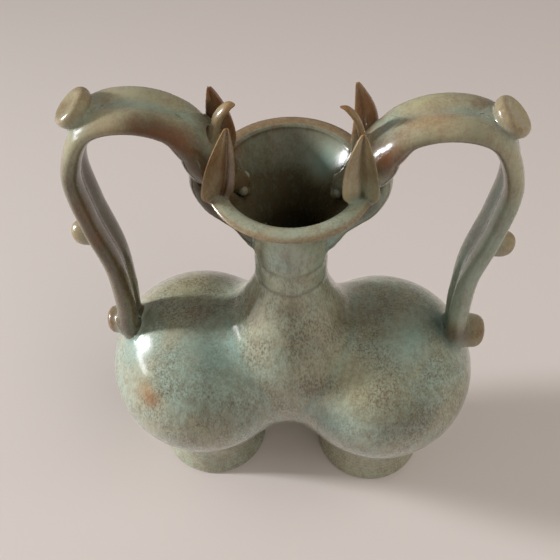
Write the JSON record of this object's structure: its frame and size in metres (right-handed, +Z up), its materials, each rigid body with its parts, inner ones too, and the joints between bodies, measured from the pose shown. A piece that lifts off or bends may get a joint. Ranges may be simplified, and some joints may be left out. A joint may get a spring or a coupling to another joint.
{
  "type": "double-bodied vase",
  "caption": "Celadon vase with twin rounded bodies on ring feet, one shared neck and flared mouth, and a pair of arched dragon handles that bite the rim.",
  "frame": {"origin": "on the surface that the vase stands on, midway between the two feet", "axes": "+Z up, +X from the left body towards the right body, -Y towards the front"},
  "size_m": [0.2584, 0.1308, 0.3606],
  "materials": {
    "celadon_glaze": "glossy grey-green celadon glaze with fine dark mottling",
    "olive_glaze": "glossy olive celadon glaze, browner where it runs thin",
    "iron_glaze": "glossy iron-brown where the glaze is thinnest"
  },
  "bodies": {
    "root": {"yoke": "celadon_glaze", "neck": "celadon_glaze", "mouth": "celadon_glaze", "right_body": "celadon_glaze", "left_body": "celadon_glaze", "right_foot": "celadon_glaze", "left_foot": "celadon_glaze", "right_front_strand": "olive_glaze", "right_back_strand": "olive_glaze", "left_front_strand": "olive_glaze", "left_back_strand": "olive_glaze", "right_dragon_head": "olive_glaze", "left_dragon_head": "olive_glaze", "right_dragon_jaw": "olive_glaze", "left_dragon_jaw": "olive_glaze", "right_front_ear": "iron_glaze", "right_back_ear": "iron_glaze", "left_front_ear": "iron_glaze", "left_back_ear": "iron_glaze", "right_crest": "iron_glaze", "left_crest": "iron_glaze", "right_front_eye": "celadon_glaze", "right_back_eye": "celadon_glaze", "left_front_eye": "celadon_glaze", "left_back_eye": "celadon_glaze", "right_elbow_boss": "olive_glaze", "left_elbow_boss": "olive_glaze", "right_middle_boss": "olive_glaze", "left_middle_boss": "olive_glaze", "right_lower_boss": "iron_glaze", "left_lower_boss": "iron_glaze"}
  },
  "joints": []
}
